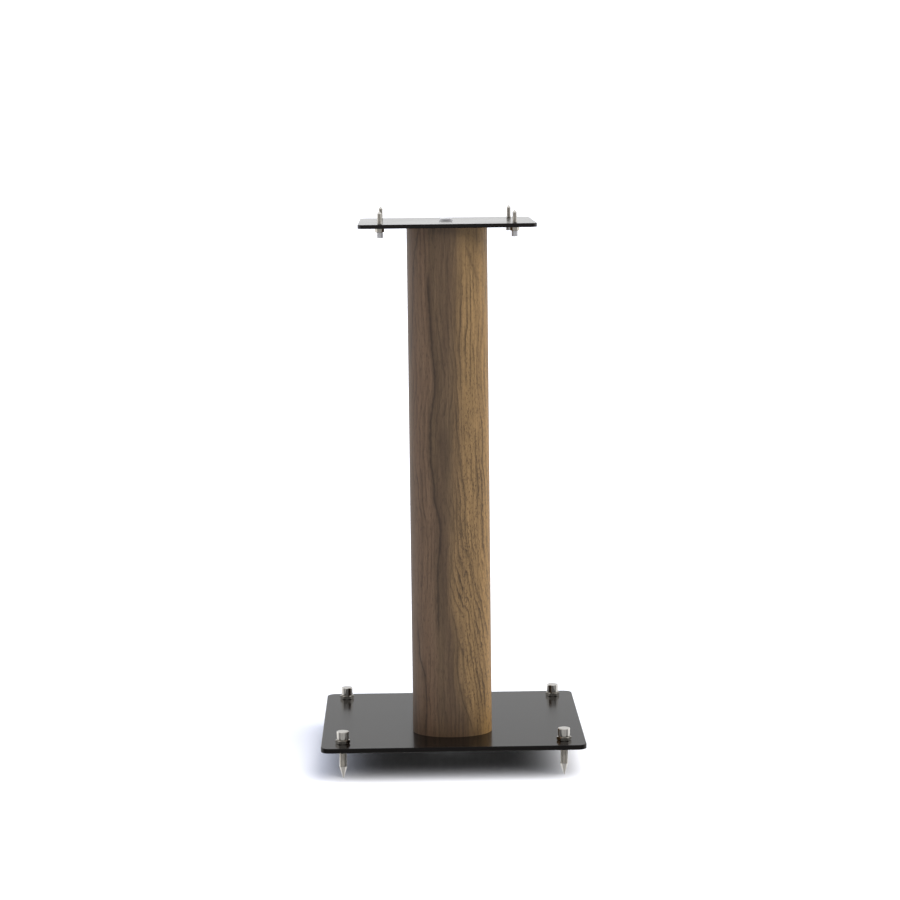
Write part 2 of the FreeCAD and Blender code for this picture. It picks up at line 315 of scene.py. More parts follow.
# Crown-cut walnut: grey-brown heartwood on the left of the front, a darker brown in its middle and
# flecked golden wood on the right, with dark growth lines that wander up the leaf. The far right is
# paler, partly golden wood and partly a painted highlight where the light falls on that side, and the
# top of the right side has a painted shadow of the top plate. A drawn line is a list of points as the
# front shows them: share of the height, millimetres right of the middle.
HEART_COOL = "#5D4836"
HEART_PALE = "#624E3B"
MIDDLE_DARK = "#4D3C2C"
MIDDLE_BROWN = "#574632"
GOLDEN = "#6A5437"
GOLDEN_PALE = "#7E6440"
GOLDEN_AND_HIGHLIGHT = "#8F6E3F"
# The dark of the streaks and stains is also the colour of the painted shadow under the top plate
STREAK_AND_SHADE_DARK = "#1C1512"
PORE_DARK = "#2A2019"
PATH_SPAN = 170 * MM
PATH_STEPS = 24
RING_SPACING = 6.3 * MM
RING_SWAY = 3.0
# Shares of one ring's width: where it darkens, and where the darkness ends
RING_DARKENS = (0.35, 0.92)
RING_ENDS = (1.0, 0.94)
QUIVER = 2.4 * MM
# Noise values, from none of a feature to all of it
NOISE_REACH = (0.3, 0.7)
GROWTH_PATCHES = (0.36, 0.62)
OPEN_PORES = (0.50, 0.68)
FINE_PORES = (0.54, 0.72)
# Millimetres to the right of a drawn line, or of the front's middle, from none of a colour to all
MIDDLE_FADE = (-9, 5)
GOLD_LEFT_FADE = (-11, 15)
GOLD_RIGHT_FADE = (150, 64)
# Next: towards the right edge the wood turns paler, partly golden figure and partly a painted highlight
# where the light falls on that side
GOLD_AND_HIGHLIGHT_FADE = (30, 66)
# The open pores are darker low on the leaf: darkness high up and low down, and the shares of the
# height between which it changes
OPEN_PORE_DARK = (0.38, 0.62)
OPEN_PORE_HEIGHT = (0.78, 0.55)
FINE_PORE_DARK = 0.55
# Darkest and lightest multiples of the colour
BAND_LIGHT = (0.84, 1.14)
FIBRE_LIGHT = (0.84, 1.16)
GROWTH_DARK_LEFT = 0.40
GROWTH_DARK_RIGHT = 0.70
SEAM_WIDTH = 0.35 * MM
SEAM_DARKNESS = 0.8
FIBRE_DEPTH = 0.03 * MM
LACQUER_ROUGHNESS = (0.42, 0.56)
LACQUER_IOR = 1.5
LACQUER_SHEEN = 0.3
MIDDLE_LINE = [(0.0, -18), (0.228, -17.3), (0.295, -16.6), (0.348, -15.9), (0.384, -13.4), (0.431, -13.7),
               (0.47, -19.3), (0.5, -20.5), (0.551, -23.4), (0.628, -22.7), (0.657, -20.4), (0.706, -17),
               (0.754, -19.6), (0.781, -20.4), (0.876, -23.9), (1.0, -24)]
RIGHT_LINE = [(0.0, 50), (0.12, 48), (0.242, 39.3), (0.295, 30.7), (0.35, 23.5), (0.4055, 18.6),
              (0.49, 17.9), (0.522, 14.1), (0.606, 9.4), (0.689, 6.5), (0.8, 7), (1.0, 9)]
GOLD_EDGE = [(0.0, 27), (0.03, 21.9), (0.0925, 9.7), (0.136, 6.4), (0.199, 6.3), (0.268, -0.3),
             (0.346, 1.3), (0.465, 4.8), (0.661, 7.7), (0.809, 8.9), (1.0, 10.5)]
UPPER_LEFT_LINE = [(0.0, -46), (0.7, -47), (0.772, -45.8), (0.856, -43.4), (0.935, -41.6),
                   (0.97, -38), (1.0, -35)]
LOWER_LEFT_LINE = [(0.0, -34.3), (0.118, -34.2), (0.16, -40.2), (0.2126, -41.9), (0.35, -46), (1.0, -48)]
# Dark streaks: line, darkness, half width of the core and of the soft edge in mm, and the shares of
# the height between which the streak shows
STREAKS = [
    (MIDDLE_LINE, 0.68, 3.0, 7.5, 0.22, 0.90),
    (RIGHT_LINE, 0.50, 1.9, 4.0, 0.22, 0.66),
    (GOLD_EDGE, 0.50, 1.9, 4.5, 0.02, 0.25),
    (UPPER_LEFT_LINE, 0.55, 2.2, 5.5, 0.76, 1.0),
    (LOWER_LEFT_LINE, 0.62, 2.2, 5.0, 0.0, 0.22),
]
HALO_SHARE = 0.5
STREAK_FADE_OUTSIDE = 0.04
STREAK_FADE_INSIDE = 0.02
# Stains, and at the top right a painted shadow of the top plate: share of the height, offset, half
# height as a share, half width in mm, lean to the right in mm over the whole height, and darkness
STAINS_AND_PAINTED_SHADE = [
    (0.83, -22.5, 0.085, 4.5, 0, 0.40),
    (0.575, -5.0, 0.075, 12.0, 0, 0.30),
    (0.935, 29.0, 0.06, 4.5, -230, 0.42),
    (0.30, -9.0, 0.16, 7.0, 0, 0.22),
    (0.40, -33.0, 0.05, 9.0, 0, 0.10),
    (0.38, -18.0, 0.24, 10.0, 0, 0.26),
    # Painted shade, not a stain: the top plate's shadow across the top of the right side
    (0.99, 30.0, 0.05, 26.0, 0, 0.26),
]
STAIN_AND_SHADE_FADE = (1.2, 0.1)

walnut, tree, surface = new_material("lacquered_walnut_leaf")
flat = add_node(tree, "UVMap", uv_map=LEAF_MAP).outputs["UV"]
flat_split = add_node(tree, "SeparateXYZ", {"Vector": flat})
rise = add_node(tree, "Math", {0: flat_split.outputs["Y"], 1: COLUMN_HEIGHT}, operation="DIVIDE").outputs[0]


def grain_noise(across, along, detail, seed):
    """Noise drawn out along the grain: its size across and along the leaf in millimetres."""
    stretch = add_node(tree, "Mapping", {"Vector": flat, "Scale": (1 / (across * MM), 1 / (along * MM), 1),
                                         "Location": (seed, seed, seed)})
    return add_node(tree, "TexNoise", {"Vector": stretch.outputs["Vector"], "Scale": 1.0, "Detail": detail,
                                       "Roughness": 0.6}).outputs["Fac"]


# Everything in the figure quivers sideways together
quiver = add_node(tree, "MapRange", {"Value": grain_noise(4, 14, 3.0, 8.4), "To Min": -QUIVER,
                                     "To Max": QUIVER}).outputs["Result"]
across = add_node(tree, "Math", {0: flat_split.outputs["X"], 1: quiver}, operation="ADD").outputs[0]


def round_the_nose(offset):
    """Metres round the leaf to a point that the front shows at an offset in millimetres."""
    turn = math.asin(offset * MM / COLUMN_HALF_WIDTH)
    middles = [turn * (step + 0.5) / PATH_STEPS for step in range(PATH_STEPS)]
    reach = sum(math.hypot(COLUMN_HALF_WIDTH * math.cos(t), NOSE_DEPTH * math.sin(t)) for t in middles)
    return reach * turn / PATH_STEPS


def line_distance(points):
    """How far to the right of a drawn line a point of the leaf lies, in metres."""
    curve = add_node(tree, "FloatCurve", {"Value": rise})
    line = curve.mapping.curves[0]
    for share, offset in points[1:-1]:
        line.points.new(share, 0.5 + round_the_nose(offset) / PATH_SPAN)
    for end, (share, offset) in ((0, points[0]), (-1, points[-1])):
        line.points[end].location = (share, 0.5 + round_the_nose(offset) / PATH_SPAN)
    curve.mapping.update()
    drawn = add_node(tree, "MapRange", {"Value": curve.outputs["Value"], "To Min": -PATH_SPAN / 2,
                                        "To Max": PATH_SPAN / 2}).outputs["Result"]
    return add_node(tree, "Math", {0: across, 1: drawn}, operation="SUBTRACT").outputs[0]


def growth_lines(from_line, seed, darkness):
    """Faint contours beside a drawn line, one every ring of growth, each dark on one side only."""
    rings = add_node(tree, "Math", {0: from_line, 1: RING_SPACING}, operation="DIVIDE").outputs[0]
    sway = add_node(tree, "Math", {0: grain_noise(26, 110, 2.0, seed), 1: RING_SWAY},
                    operation="MULTIPLY").outputs[0]
    rings = add_node(tree, "Math", {0: rings, 1: sway}, operation="ADD").outputs[0]
    phase = add_node(tree, "Math", {0: rings}, operation="FRACT").outputs[0]
    edge = add_node(tree, "MapRange", {"Value": phase, "From Min": RING_DARKENS[0],
                                       "From Max": RING_DARKENS[1]},
                    interpolation_type="SMOOTHSTEP").outputs["Result"]
    drop = add_node(tree, "MapRange", {"Value": phase, "From Min": RING_ENDS[0],
                                       "From Max": RING_ENDS[1]}).outputs["Result"]
    where = add_node(tree, "MapRange", {"Value": grain_noise(14, 90, 2.0, seed + 4.7),
                                        "From Min": GROWTH_PATCHES[0], "From Max": GROWTH_PATCHES[1],
                                        "To Max": darkness}).outputs["Result"]
    line = add_node(tree, "Math", {0: edge, 1: drop}, operation="MULTIPLY").outputs[0]
    return add_node(tree, "Math", {0: line, 1: where}, operation="MULTIPLY").outputs[0]


from_gold = line_distance(GOLD_EDGE)
gold_left = add_node(tree, "MapRange", {"Value": from_gold, "From Min": GOLD_LEFT_FADE[0] * MM,
                                        "From Max": GOLD_LEFT_FADE[1] * MM},
                     interpolation_type="SMOOTHSTEP").outputs["Result"]
gold_right = add_node(tree, "MapRange", {"Value": from_gold, "From Min": GOLD_RIGHT_FADE[0] * MM,
                                         "From Max": GOLD_RIGHT_FADE[1] * MM},
                      interpolation_type="SMOOTHSTEP").outputs["Result"]
gold = add_node(tree, "Math", {0: gold_left, 1: gold_right}, operation="MULTIPLY").outputs[0]
from_middle = line_distance(MIDDLE_LINE)
from_right = line_distance(RIGHT_LINE)
middle_share = add_node(tree, "MapRange", {"Value": from_middle, "From Min": MIDDLE_FADE[0] * MM,
                                           "From Max": MIDDLE_FADE[1] * MM},
                        interpolation_type="SMOOTHSTEP").outputs["Result"]
broad = add_node(tree, "MapRange", {"Value": grain_noise(13, 260, 3.0, 1.7),
                                    "From Min": NOISE_REACH[0],
                                    "From Max": NOISE_REACH[1]}).outputs["Result"]
cool = add_node(tree, "MixRGB", {"Fac": broad, "Color1": linear(HEART_COOL), "Color2": linear(HEART_PALE)})
brown = add_node(tree, "MixRGB", {"Fac": broad, "Color1": linear(MIDDLE_DARK),
                                  "Color2": linear(MIDDLE_BROWN)})
warm = add_node(tree, "MixRGB", {"Fac": broad, "Color1": linear(GOLDEN), "Color2": linear(GOLDEN_PALE)})
# Paler towards the right edge: partly golden wood, partly a painted highlight from the light on that side
gold_and_highlight_right = add_node(tree, "MapRange", {"Value": across, "From Min": GOLD_AND_HIGHLIGHT_FADE[0] * MM,
                                          "From Max": GOLD_AND_HIGHLIGHT_FADE[1] * MM},
                       interpolation_type="SMOOTHSTEP").outputs["Result"]
warm = add_node(tree, "MixRGB", {"Fac": gold_and_highlight_right, "Color1": warm.outputs["Color"],
                                 "Color2": linear(GOLDEN_AND_HIGHLIGHT)})
wood = add_node(tree, "MixRGB", {"Fac": middle_share, "Color1": cool.outputs["Color"],
                                 "Color2": brown.outputs["Color"]})
wood = add_node(tree, "MixRGB", {"Fac": gold, "Color1": wood.outputs["Color"],
                                 "Color2": warm.outputs["Color"]})
band_light = add_node(tree, "MapRange", {"Value": grain_noise(3.4, 120, 3.0, 5.9),
                                         "From Min": NOISE_REACH[0], "From Max": NOISE_REACH[1],
                                         "To Min": BAND_LIGHT[0],
                                         "To Max": BAND_LIGHT[1]}).outputs["Result"]
wood = add_node(tree, "Mix", {"Factor": 1.0, 6: wood.outputs["Color"], 7: band_light}, data_type="RGBA",
                blend_type="MULTIPLY").outputs[2]

dark_left = growth_lines(from_middle, 12.3, GROWTH_DARK_LEFT)
dark_right = growth_lines(from_right, 41.9, GROWTH_DARK_RIGHT)
dark = add_node(tree, "Mix", {"Factor": gold, "A": dark_left, "B": dark_right}).outputs["Result"]
known = {id(MIDDLE_LINE): from_middle, id(RIGHT_LINE): from_right, id(GOLD_EDGE): from_gold}
for points, strength, core, halo, start, stop in STREAKS:
    apart = known[id(points)] if id(points) in known else line_distance(points)
    gap = add_node(tree, "Math", {0: apart}, operation="ABSOLUTE").outputs[0]
    thin = add_node(tree, "MapRange", {"Value": gap, "From Min": core * MM, "From Max": 0.0,
                                       "To Max": strength},
                    interpolation_type="SMOOTHSTEP").outputs["Result"]
    wide = add_node(tree, "MapRange", {"Value": gap, "From Min": halo * MM, "From Max": 0.0,
                                       "To Max": strength * HALO_SHARE},
                    interpolation_type="SMOOTHSTEP").outputs["Result"]
    both = add_node(tree, "Math", {0: thin, 1: wide}, operation="MAXIMUM").outputs[0]
    begins = add_node(tree, "MapRange", {"Value": rise, "From Min": start - STREAK_FADE_OUTSIDE,
                                         "From Max": start + STREAK_FADE_INSIDE},
                      interpolation_type="SMOOTHSTEP").outputs["Result"]
    ends = add_node(tree, "MapRange", {"Value": rise, "From Min": stop + STREAK_FADE_OUTSIDE,
                                       "From Max": stop - STREAK_FADE_INSIDE},
                    interpolation_type="SMOOTHSTEP").outputs["Result"]
    shown = add_node(tree, "Math", {0: both, 1: begins}, operation="MULTIPLY").outputs[0]
    shown = add_node(tree, "Math", {0: shown, 1: ends}, operation="MULTIPLY").outputs[0]
    dark = add_node(tree, "Math", {0: dark, 1: shown}, operation="MAXIMUM").outputs[0]

# Stains in the wood, and the last one a painted shadow under the top plate
for share, offset, half_height, half_width, lean, strength in STAINS_AND_PAINTED_SHADE:
    above = add_node(tree, "Math", {0: rise, 1: share}, operation="SUBTRACT").outputs[0]
    slant = add_node(tree, "Math", {0: above, 1: lean * MM}, operation="MULTIPLY").outputs[0]
    beside = add_node(tree, "Math", {0: across, 1: round_the_nose(offset)},
                      operation="SUBTRACT").outputs[0]
    beside = add_node(tree, "Math", {0: beside, 1: slant}, operation="SUBTRACT").outputs[0]
    spot = add_node(tree, "CombineXYZ", {"X": beside, "Y": above})
    scaled = add_node(tree, "Mapping", {"Vector": spot.outputs["Vector"],
                                        "Scale": (1 / (half_width * MM), 1 / half_height, 1)})
    away = add_node(tree, "VectorMath", {0: scaled.outputs["Vector"]}, operation="LENGTH").outputs["Value"]
    shown = add_node(tree, "MapRange", {"Value": away, "From Min": STAIN_AND_SHADE_FADE[0],
                                        "From Max": STAIN_AND_SHADE_FADE[1], "To Max": strength},
                     interpolation_type="SMOOTHSTEP").outputs["Result"]
    dark = add_node(tree, "Math", {0: dark, 1: shown}, operation="MAXIMUM").outputs[0]

wood = add_node(tree, "MixRGB", {"Fac": dark, "Color1": wood, "Color2": linear(STREAK_AND_SHADE_DARK)})

# Pores: short dark dashes, wide and open in the golden wood and fine in the heartwood, drawn
# coarser than real ones so that they show. Fibre: fine lighter and darker lines.
open_pore = add_node(tree, "MapRange", {"Value": grain_noise(1.3, 3.6, 2.0, 21.5),
                                        "From Min": OPEN_PORES[0],
                                        "From Max": OPEN_PORES[1]}).outputs["Result"]
openness = add_node(tree, "MapRange", {"Value": rise, "From Min": OPEN_PORE_HEIGHT[0],
                                       "From Max": OPEN_PORE_HEIGHT[1], "To Min": OPEN_PORE_DARK[0],
                                       "To Max": OPEN_PORE_DARK[1]}).outputs["Result"]
open_pore = add_node(tree, "Math", {0: open_pore, 1: openness}, operation="MULTIPLY").outputs[0]
fine_pore = add_node(tree, "MapRange", {"Value": grain_noise(0.9, 9.0, 2.0, 27.1),
                                        "From Min": FINE_PORES[0], "From Max": FINE_PORES[1],
                                        "To Max": FINE_PORE_DARK}).outputs["Result"]
pore_total = add_node(tree, "Mix", {"Factor": gold, "A": fine_pore, "B": open_pore}).outputs["Result"]
wood = add_node(tree, "MixRGB", {"Fac": pore_total, "Color1": wood.outputs["Color"],
                                 "Color2": linear(PORE_DARK)})
fibre = grain_noise(0.7, 22, 3.0, 31.7)
fibre_light = add_node(tree, "MapRange", {"Value": fibre, "From Min": NOISE_REACH[0],
                                          "From Max": NOISE_REACH[1], "To Min": FIBRE_LIGHT[0],
                                          "To Max": FIBRE_LIGHT[1]}).outputs["Result"]
wood = add_node(tree, "Mix", {"Factor": 1.0, 6: wood.outputs["Color"], 7: fibre_light}, data_type="RGBA",
                blend_type="MULTIPLY").outputs[2]

# The butt seam up the middle of the back
girth = travel[round(ring[-1][0], 5)]
reach = add_node(tree, "Math", {0: flat_split.outputs["X"]}, operation="ABSOLUTE").outputs[0]
seam = add_node(tree, "MapRange", {"Value": reach, "From Min": girth - SEAM_WIDTH, "From Max": girth,
                                   "To Max": SEAM_DARKNESS}).outputs["Result"]
wood = add_node(tree, "MixRGB", {"Fac": seam, "Color1": wood, "Color2": linear(STREAK_AND_SHADE_DARK)})
tree.links.new(wood.outputs["Color"], surface.inputs["Base Color"])
lacquer = add_node(tree, "MapRange", {"Value": fibre, "To Min": LACQUER_ROUGHNESS[0],
                                      "To Max": LACQUER_ROUGHNESS[1]})
tree.links.new(lacquer.outputs["Result"], surface.inputs["Roughness"])
relief = add_node(tree, "Math", {0: fibre, 1: pore_total}, operation="SUBTRACT").outputs[0]
bump = add_node(tree, "Bump", {"Height": relief, "Distance": FIBRE_DEPTH, "Strength": 0.6})
tree.links.new(bump.outputs["Normal"], surface.inputs["Normal"])
surface.inputs["IOR"].default_value = LACQUER_IOR
surface.inputs["Specular IOR Level"].default_value = LACQUER_SHEEN
wear(leaf, walnut)
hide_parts("column_veneer")
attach(leaf, "root")

# The core is medium-density fibreboard: pale brown, matt, with a mottle of pressed fibres
BOARD_BROWN = "#9A7B57"
BOARD_PALE = "#B89A74"
BOARD_ROUGHNESS = 0.85
MOTTLE_SIZE = 2 * MM
MOTTLE_DEPTH = 0.05 * MM

board, tree, surface = new_material("sawn_fibreboard")
place = add_node(tree, "TexCoord").outputs["Object"]
mottle = add_node(tree, "TexNoise", {"Vector": place, "Scale": 1 / MOTTLE_SIZE, "Detail": 5.0})
tone = add_node(tree, "MixRGB", {"Fac": mottle.outputs["Fac"], "Color1": linear(BOARD_BROWN),
                                 "Color2": linear(BOARD_PALE)})
bump = add_node(tree, "Bump", {"Height": mottle.outputs["Fac"], "Distance": MOTTLE_DEPTH})
tree.links.new(tone.outputs["Color"], surface.inputs["Base Color"])
tree.links.new(bump.outputs["Normal"], surface.inputs["Normal"])
surface.inputs["Roughness"].default_value = BOARD_ROUGHNESS
wear(nodes["column_core"], board)

# ---------------------------------------------------------------------------------------------
# Floor spikes. Turned from 15 mm bright steel bar, an M10 thread rolled on the shank down to the
# cone, polished and chromed. The plain round head is turned by hand and clamps on its lock nut.
CORNERS = ["front_left", "front_right", "rear_left", "rear_right"]
CHROME_TINT = "#D3CFC9"
CHROME_PALER = "#E0DDD8"
CHROME_ROUGHNESS = (0.08, 0.18)
CHROME_SMEAR = 4 * MM
CHROME_TURNING = (30 * MM, 0.25 * MM)
TURNING_DEPTH = 0.002 * MM
SATIN_TINT = "#EFEEF1"
SATIN_PALER = "#F7F7F9"
SATIN_ROUGHNESS = (0.52, 0.62)
SATIN_TURNING = (20 * MM, 0.3 * MM)
FLOOR_PITCH = 1.5 * MM
FLOOR_THREAD_DEPTH = 0.85 * MM
FLOOR_CONE = 15 * MM
FLOOR_TIP_RADIUS = 0.4 * MM
FLOOR_SHANK_RADIUS = 5 * MM
FLOOR_HEAD_ROUNDING = 0.9 * MM
FLOOR_THREAD_OVER_CONE = 0.4 * MM
THREAD_INTO_HEAD = 0.5 * MM
THREAD_CLEARANCE = 0.05 * MM
THREAD_STEPS = 32
THREAD_WELD = 0.00001
LATHE_STEPS = 64
ROUNDING_STEPS = 4
# Small enough not to show, and enough to keep two faces from lying in one place
HAIR = 0.01 * MM

chrome, tree, surface = new_material("turned_chromed_steel")
place = add_node(tree, "TexCoord").outputs["Object"]
around, along = CHROME_TURNING
lathe_lines = add_node(tree, "Mapping", {"Vector": place, "Scale": (1 / around, 1 / around, 1 / along)})
turning = add_node(tree, "TexNoise", {"Vector": lathe_lines.outputs["Vector"], "Scale": 1.0, "Detail": 2.0})
smear = add_node(tree, "TexNoise", {"Vector": place, "Scale": 1 / CHROME_SMEAR, "Detail": 3.0})
gloss = add_node(tree, "MapRange", {"Value": smear.outputs["Fac"], "To Min": CHROME_ROUGHNESS[0],
                                    "To Max": CHROME_ROUGHNESS[1]})
bump = add_node(tree, "Bump", {"Height": turning.outputs["Fac"], "Distance": TURNING_DEPTH,
                               "Strength": 0.5})
shade = add_node(tree, "MixRGB", {"Fac": smear.outputs["Fac"], "Color1": linear(CHROME_TINT),
                                  "Color2": linear(CHROME_PALER)})
tree.links.new(shade.outputs["Color"], surface.inputs["Base Color"])
tree.links.new(gloss.outputs["Result"], surface.inputs["Roughness"])
tree.links.new(bump.outputs["Normal"], surface.inputs["Normal"])
surface.inputs["Metallic"].default_value = 1.0

# The same steel nearly matt from the lathe, on the small heads that are turned and not polished
satin, tree, surface = new_material("satin_turned_steel")
place = add_node(tree, "TexCoord").outputs["Object"]
around, along = SATIN_TURNING
lathe_lines = add_node(tree, "Mapping", {"Vector": place, "Scale": (1 / around, 1 / around, 1 / along)})
turning = add_node(tree, "TexNoise", {"Vector": lathe_lines.outputs["Vector"], "Scale": 1.0, "Detail": 2.0})
gloss = add_node(tree, "MapRange", {"Value": turning.outputs["Fac"], "To Min": SATIN_ROUGHNESS[0],
                                    "To Max": SATIN_ROUGHNESS[1]})
shade = add_node(tree, "MixRGB", {"Fac": turning.outputs["Fac"], "Color1": linear(SATIN_TINT),
                                  "Color2": linear(SATIN_PALER)})
tree.links.new(shade.outputs["Color"], surface.inputs["Base Color"])
tree.links.new(gloss.outputs["Result"], surface.inputs["Roughness"])
surface.inputs["Metallic"].default_value = 1.0


def turned_piece(name, outline):
    """A lathe-turned solid about the Z axis, extruded ring by ring through (radius, height) points."""
    deselect()
    first_radius, first_height = outline[0]
    bpy.ops.mesh.primitive_circle_add(vertices=LATHE_STEPS, radius=first_radius, fill_type="NGON",
                                      location=(0, 0, first_height))
    piece = bpy.context.object
    piece.name = name
    bpy.ops.object.transform_apply(location=True, rotation=True, scale=True)
    bpy.ops.object.mode_set(mode="EDIT")
    for (radius_before, height_before), (radius, height) in zip(outline, outline[1:]):
        lift = {"value": (0, 0, height - height_before)}
        bpy.ops.mesh.extrude_region_move(TRANSFORM_OT_translate=lift)
        grow = radius / radius_before
        bpy.ops.transform.resize(value=(grow, grow, 1), center_override=(0, 0, height))
    bpy.ops.mesh.select_all(action="SELECT")
    bpy.ops.mesh.normals_make_consistent(inside=False)
    bpy.ops.object.mode_set(mode="OBJECT")
    return piece


def rounded_rim(radius, height, rounding, facing):
    """Outline points of a rounded rim, going up: facing is 1 for an upper rim, -1 for a lower one."""
    turns = [math.radians(90) * step / ROUNDING_STEPS for step in range(ROUNDING_STEPS + 1)]
    if facing < 0:
        turns.reverse()
    return [(radius - rounding * (1 - math.cos(turn)), height - facing * rounding * (1 - math.sin(turn)))
            for turn in turns]


def thread(name, crest_radius, depth, pitch, bottom, top):
    """One closed length of V thread about the Z axis: a screwed V, cut square at both ends."""
    deselect()
    bpy.ops.mesh.primitive_circle_add(vertices=4, radius=1, fill_type="NOTHING")
    piece = bpy.context.object
    piece.name = name
    piece.data.transform(Matrix.Rotation(math.radians(90), 4, "X"))
    piece.data.transform(Matrix.Diagonal((depth, 1, pitch / 2, 1)))
    piece.data.transform(Matrix.Translation((crest_radius - depth, 0, bottom - pitch)))
    for part in (piece.data.edges, piece.data.vertices):
        for item in part:
            item.select = False
    for vertex in piece.data.vertices:
        vertex.select = vertex.co.x < crest_radius - 1.5 * depth
    bpy.ops.object.mode_set(mode="EDIT")
    bpy.ops.mesh.delete(type="VERT")
    bpy.ops.object.mode_set(mode="OBJECT")
    turns = math.ceil((top - bottom) / pitch) + 2
    finish_modifier(piece, "SCREW", axis="Z", screw_offset=pitch, iterations=turns, steps=THREAD_STEPS,
                    render_steps=THREAD_STEPS, use_merge_vertices=True, merge_threshold=THREAD_WELD,
                    use_normal_calculate=True)
    select_only(piece)
    bpy.ops.object.mode_set(mode="EDIT")
    bpy.ops.mesh.select_all(action="SELECT")
    bpy.ops.mesh.remove_doubles(threshold=THREAD_WELD)
    bpy.ops.mesh.bisect(plane_co=(0, 0, bottom), plane_no=(0, 0, 1), use_fill=True, clear_inner=True)
    bpy.ops.mesh.select_all(action="SELECT")
    bpy.ops.mesh.bisect(plane_co=(0, 0, top), plane_no=(0, 0, 1), use_fill=True, clear_outer=True)
    bpy.ops.mesh.select_all(action="SELECT")
    bpy.ops.mesh.normals_make_consistent(inside=False)
    bpy.ops.object.mode_set(mode="OBJECT")
    return piece


def combine(piece, other, operation):
    """Joins another closed piece to this one, or cuts it away, and removes the other."""
    finish_modifier(piece, "BOOLEAN", operation=operation, solver="EXACT", object=other)
    bpy.data.objects.remove(other)


def even_shading(piece, degrees):
    """Smooths a piece with its flats kept flat up to their rounded rims."""
    smooth(piece, degrees)
    finish_modifier(piece, "WEIGHTED_NORMAL", keep_sharp=True, weight=80)


def place_copy(pattern, name, x, y, z=0.0):
    """A copy of a finished piece with its own mesh, moved to its place."""
    copy = pattern.copy()
    copy.data = pattern.data.copy()
    copy.name = name
    copy.data.transform(Matrix.Translation((x, y, z)))
    bpy.context.scene.collection.objects.link(copy)
    return copy


def stand_for(piece, node, body):
    """Puts a finished piece in a plain node's place and on its body, and hides the plain node."""
    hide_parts(node)
    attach(piece, body)


def fit_spikes(pattern, family):
    """Sets a copy of the spike at each corner, in place of the plain one there."""
    for corner in CORNERS:
        low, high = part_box(family + corner)
        middle = (low + high) / 2
        piece = place_copy(pattern, "chromed_" + family + corner, middle.x, middle.y)
        stand_for(piece, family + corner, family + corner)
    bpy.data.objects.remove(pattern)


low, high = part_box("floor_spike_front_left")
head_radius = (high.x - low.x) / 2
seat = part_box("floor_lock_nut_front_left")[1].z
root_radius = FLOOR_SHANK_RADIUS - FLOOR_THREAD_DEPTH
floor_spike = turned_piece("floor_spike_pattern", [
    (FLOOR_TIP_RADIUS, 0), (FLOOR_SHANK_RADIUS, FLOOR_CONE),
    (root_radius, FLOOR_CONE + FLOOR_THREAD_DEPTH), (root_radius, seat),
    *rounded_rim(head_radius, seat, FLOOR_HEAD_ROUNDING, -1),
    *rounded_rim(head_radius, high.z, FLOOR_HEAD_ROUNDING, 1)])
floor_thread = thread("floor_thread", FLOOR_SHANK_RADIUS - HAIR, FLOOR_THREAD_DEPTH, FLOOR_PITCH,
                      FLOOR_CONE - FLOOR_THREAD_OVER_CONE, seat + THREAD_INTO_HEAD)
combine(floor_spike, floor_thread, "UNION")
even_shading(floor_spike, 32)
wear(floor_spike, chrome)
fit_spikes(floor_spike, "floor_spike_")

# ---------------------------------------------------------------------------------------------
# Lock nuts. Thin hexagon nuts of bright nickel-plated steel, chamfered on both faces and at both
# mouths of the bore, with crisp edges.
NICKEL_TINT = "#9C978F"
NICKEL_PALER = "#B4AFA7"
NICKEL_ROUGHNESS = (0.10, 0.24)
NICKEL_SMEAR = 3 * MM
NICKEL_WAVE = 0.01 * MM
NUT_CHAMFER_DEGREES = 30
NUT_FACE_SHARE = 0.95
NUT_BLANK_SHARE = 1.01
NUT_BORE_CHAMFER = 0.4 * MM
# An upper limit: the rounding that results is only a few thousandths of a millimetre
NUT_EDGE_ROUND = 0.18 * MM

nickel, tree, surface = new_material("bright_nickel_plate")
place = add_node(tree, "TexCoord").outputs["Object"]
smear = add_node(tree, "TexNoise", {"Vector": place, "Scale": 1 / NICKEL_SMEAR, "Detail": 4.0})
gloss = add_node(tree, "MapRange", {"Value": smear.outputs["Fac"], "To Min": NICKEL_ROUGHNESS[0],
                                    "To Max": NICKEL_ROUGHNESS[1]})
shade = add_node(tree, "MixRGB", {"Fac": smear.outputs["Fac"], "Color1": linear(NICKEL_TINT),
                                  "Color2": linear(NICKEL_PALER)})
bump = add_node(tree, "Bump", {"Height": smear.outputs["Fac"], "Distance": NICKEL_WAVE,
                               "Strength": 0.5})
tree.links.new(shade.outputs["Color"], surface.inputs["Base Color"])
tree.links.new(gloss.outputs["Result"], surface.inputs["Roughness"])
tree.links.new(bump.outputs["Normal"], surface.inputs["Normal"])
surface.inputs["Metallic"].default_value = 1.0


